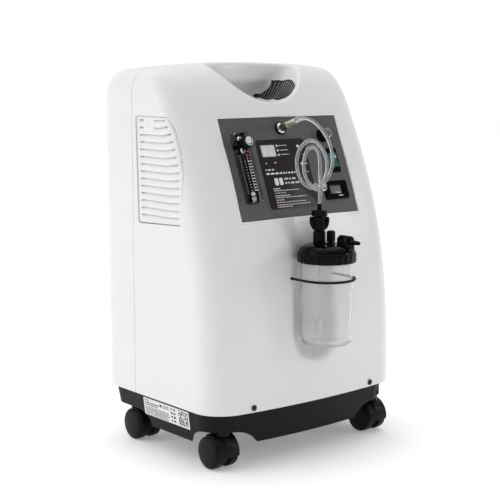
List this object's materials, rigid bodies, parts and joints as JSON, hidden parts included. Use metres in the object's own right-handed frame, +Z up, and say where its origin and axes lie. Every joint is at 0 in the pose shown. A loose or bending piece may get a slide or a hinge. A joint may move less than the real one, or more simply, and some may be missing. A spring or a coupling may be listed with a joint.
{
  "type": "oxygen concentrator",
  "caption": "Upright medical oxygen concentrator on twin-wheel casters, with a sloping control panel, a recessed top grip and a humidifier bottle in a front pocket.",
  "frame": {"origin": "floor level under the middle of the object's plan, the free tube left out", "axes": "+Z up, -Y towards the front where the bottle stands, +X to the right of a person facing the front"},
  "size_m": [0.38, 0.38, 0.6],
  "materials": {
    "shell_white": "satin moulded",
    "base_black": "fine texture",
    "louvre_dark": "moulded ribs",
    "panel_grey": "fine leather texture",
    "label_dark": "satin print",
    "window_pale": "display film",
    "black_plastic": "satin",
    "rocker_teal": "translucent gloss",
    "clear_acrylic": "polished",
    "float_steel": "polished",
    "outlet_metal": "nickel plated",
    "clear_cap": "clear moulded",
    "clear_tube": "clear soft vinyl",
    "strap_black": "elastic cord",
    "frosted_jar": "frosted translucent",
    "label_white": "printed film",
    "screw_black": "black oxide",
    "cover_pale": "moulded",
    "foam_grey": "open foam",
    "cast_aluminium": "cast",
    "bright_steel": "ground",
    "mount_rubber": "moulded",
    "coil_copper": "copper tube",
    "board_green": "solder mask",
    "caster_black": "moulded nylon",
    "wheel_black": "moulded nylon"
  },
  "bodies": {
    "cabinet": {"front_shell": "shell_white", "rear_shell": "shell_white", "base": "base_black", "side_vent_left": "shell_white", "side_vent_right": "shell_white", "intake_louvre_left": "louvre_dark", "intake_louvre_right": "louvre_dark", "control_panel": "panel_grey", "panel_label": "label_dark", "status_window": "window_pale", "hour_meter": "black_plastic", "switch_bezel": "black_plastic", "flowmeter_body": "clear_acrylic", "oxygen_outlet": "outlet_metal", "nebuliser_outlet": "black_plastic", "oxygen_tube": "clear_tube", "tube_clip": "clear_tube", "bottle_strap": "strap_black", "humidifier_lid": "black_plastic", "humidifier_inlet": "black_plastic", "outlet_elbow": "black_plastic", "nameplate": "label_white", "shell_screws": "screw_black", "power_inlet": "black_plastic", "compressor_housing": "cast_aluminium", "compressor_heads": "cast_aluminium", "compressor_mounts": "mount_rubber", "fan_frame": "black_plastic", "cooling_coil": "coil_copper", "sieve_beds": "cast_aluminium", "product_tank": "cast_aluminium", "valve_block": "cast_aluminium", "control_board": "board_green", "run_capacitor": "cover_pale", "intake_silencer": "black_plastic", "exhaust_muffler": "black_plastic"},
    "rocker": {"power_rocker": "rocker_teal"},
    "knob": {"flow_knob": "black_plastic"},
    "float": {"flowmeter_float": "float_steel"},
    "nebuliser_plug": {"nebuliser_cap": "clear_cap"},
    "wing_nut": {"inlet_wing_nut": "black_plastic"},
    "jar": {"humidifier_jar": "frosted_jar"},
    "relief_plunger": {"relief_valve": "black_plastic"},
    "rear_filter": {"filter_cover": "cover_pale", "filter_foam": "foam_grey"},
    "breaker": {"breaker_button": "black_plastic"},
    "fan": {"fan_rotor": "black_plastic"},
    "compressor_rotor": {"compressor_shaft": "bright_steel"},
    "front_left_caster": {"caster_front_left": "caster_black"},
    "front_left_outer_wheel": {"wheel_front_left_outer": "wheel_black"},
    "front_left_inner_wheel": {"wheel_front_left_inner": "wheel_black"},
    "front_right_caster": {"caster_front_right": "caster_black"},
    "front_right_outer_wheel": {"wheel_front_right_outer": "wheel_black"},
    "front_right_inner_wheel": {"wheel_front_right_inner": "wheel_black"},
    "rear_left_caster": {"caster_rear_left": "caster_black"},
    "rear_left_outer_wheel": {"wheel_rear_left_outer": "wheel_black"},
    "rear_left_inner_wheel": {"wheel_rear_left_inner": "wheel_black"},
    "rear_right_caster": {"caster_rear_right": "caster_black"},
    "rear_right_outer_wheel": {"wheel_rear_right_outer": "wheel_black"},
    "rear_right_inner_wheel": {"wheel_rear_right_inner": "wheel_black"}
  },
  "joints": [
    {"name": "power_rocker_tilt", "type": "hinge", "parent": "cabinet", "child": "rocker", "pos_m": [0.0885, -0.04906, 0.44499], "axis": [1, 0, 0], "range_deg": [-8, 8]},
    {"name": "flow_knob_turn", "type": "hinge", "parent": "cabinet", "child": "knob", "pos_m": [-0.09, -0.04049, 0.47493], "axis": [0, -0.9304, 0.3665], "range_deg": [0, 1080]},
    {"name": "float_rise", "type": "slide", "parent": "cabinet", "child": "float", "axis": [0, 0.3665, 0.9304], "range_m": [0, 0.055]},
    {"name": "nebuliser_cap_pull", "type": "slide", "parent": "cabinet", "child": "nebuliser_plug", "axis": [0, -0.9304, 0.3665], "range_m": [0, 0.02]},
    {"name": "wing_nut_turn", "type": "hinge", "parent": "cabinet", "child": "wing_nut", "pos_m": [0, -0.12, 0.36], "axis": [0, 0, 1], "range_deg": [0, 720]},
    {"name": "jar_unscrew", "type": "hinge", "parent": "cabinet", "child": "jar", "pos_m": [0, -0.137, 0.24], "axis": [0, 0, 1], "range_deg": [0, 720]},
    {"name": "relief_valve_lift", "type": "slide", "parent": "cabinet", "child": "relief_plunger", "axis": [0, 0, 1], "range_m": [0, 0.003], "stiffness_N_per_m": 300},
    {"name": "filter_cover_pull", "type": "slide", "parent": "cabinet", "child": "rear_filter", "axis": [0, 1, 0], "range_m": [0, 0.03]},
    {"name": "breaker_press", "type": "slide", "parent": "cabinet", "child": "breaker", "axis": [0, -1, 0], "range_m": [0, 0.002], "stiffness_N_per_m": 500},
    {"name": "fan_spin", "type": "hinge", "parent": "cabinet", "child": "fan", "pos_m": [0, -0.005, 0.248], "axis": [0, 0, 1], "continuous": true},
    {"name": "compressor_spin", "type": "hinge", "parent": "cabinet", "child": "compressor_rotor", "pos_m": [0, 0.04, 0.15], "axis": [1, 0, 0], "continuous": true},
    {"name": "front_left_swivel", "type": "hinge", "parent": "cabinet", "child": "front_left_caster", "pos_m": [-0.155, -0.08, 0.06], "axis": [0, 0, 1], "continuous": true},
    {"name": "front_left_outer_roll", "type": "hinge", "parent": "front_left_caster", "child": "front_left_outer_wheel", "pos_m": [-0.155, -0.07, 0.025], "axis": [1, 0, 0], "continuous": true},
    {"name": "front_left_inner_roll", "type": "hinge", "parent": "front_left_caster", "child": "front_left_inner_wheel", "pos_m": [-0.155, -0.07, 0.025], "axis": [1, 0, 0], "continuous": true},
    {"name": "front_right_swivel", "type": "hinge", "parent": "cabinet", "child": "front_right_caster", "pos_m": [0.155, -0.08, 0.06], "axis": [0, 0, 1], "continuous": true},
    {"name": "front_right_outer_roll", "type": "hinge", "parent": "front_right_caster", "child": "front_right_outer_wheel", "pos_m": [0.155, -0.07, 0.025], "axis": [1, 0, 0], "continuous": true},
    {"name": "front_right_inner_roll", "type": "hinge", "parent": "front_right_caster", "child": "front_right_inner_wheel", "pos_m": [0.155, -0.07, 0.025], "axis": [1, 0, 0], "continuous": true},
    {"name": "rear_left_swivel", "type": "hinge", "parent": "cabinet", "child": "rear_left_caster", "pos_m": [-0.155, 0.118, 0.06], "axis": [0, 0, 1], "continuous": true},
    {"name": "rear_left_outer_roll", "type": "hinge", "parent": "rear_left_caster", "child": "rear_left_outer_wheel", "pos_m": [-0.155, 0.128, 0.025], "axis": [1, 0, 0], "continuous": true},
    {"name": "rear_left_inner_roll", "type": "hinge", "parent": "rear_left_caster", "child": "rear_left_inner_wheel", "pos_m": [-0.155, 0.128, 0.025], "axis": [1, 0, 0], "continuous": true},
    {"name": "rear_right_swivel", "type": "hinge", "parent": "cabinet", "child": "rear_right_caster", "pos_m": [0.155, 0.118, 0.06], "axis": [0, 0, 1], "continuous": true},
    {"name": "rear_right_outer_roll", "type": "hinge", "parent": "rear_right_caster", "child": "rear_right_outer_wheel", "pos_m": [0.155, 0.128, 0.025], "axis": [1, 0, 0], "continuous": true},
    {"name": "rear_right_inner_roll", "type": "hinge", "parent": "rear_right_caster", "child": "rear_right_inner_wheel", "pos_m": [0.155, 0.128, 0.025], "axis": [1, 0, 0], "continuous": true}
  ]
}
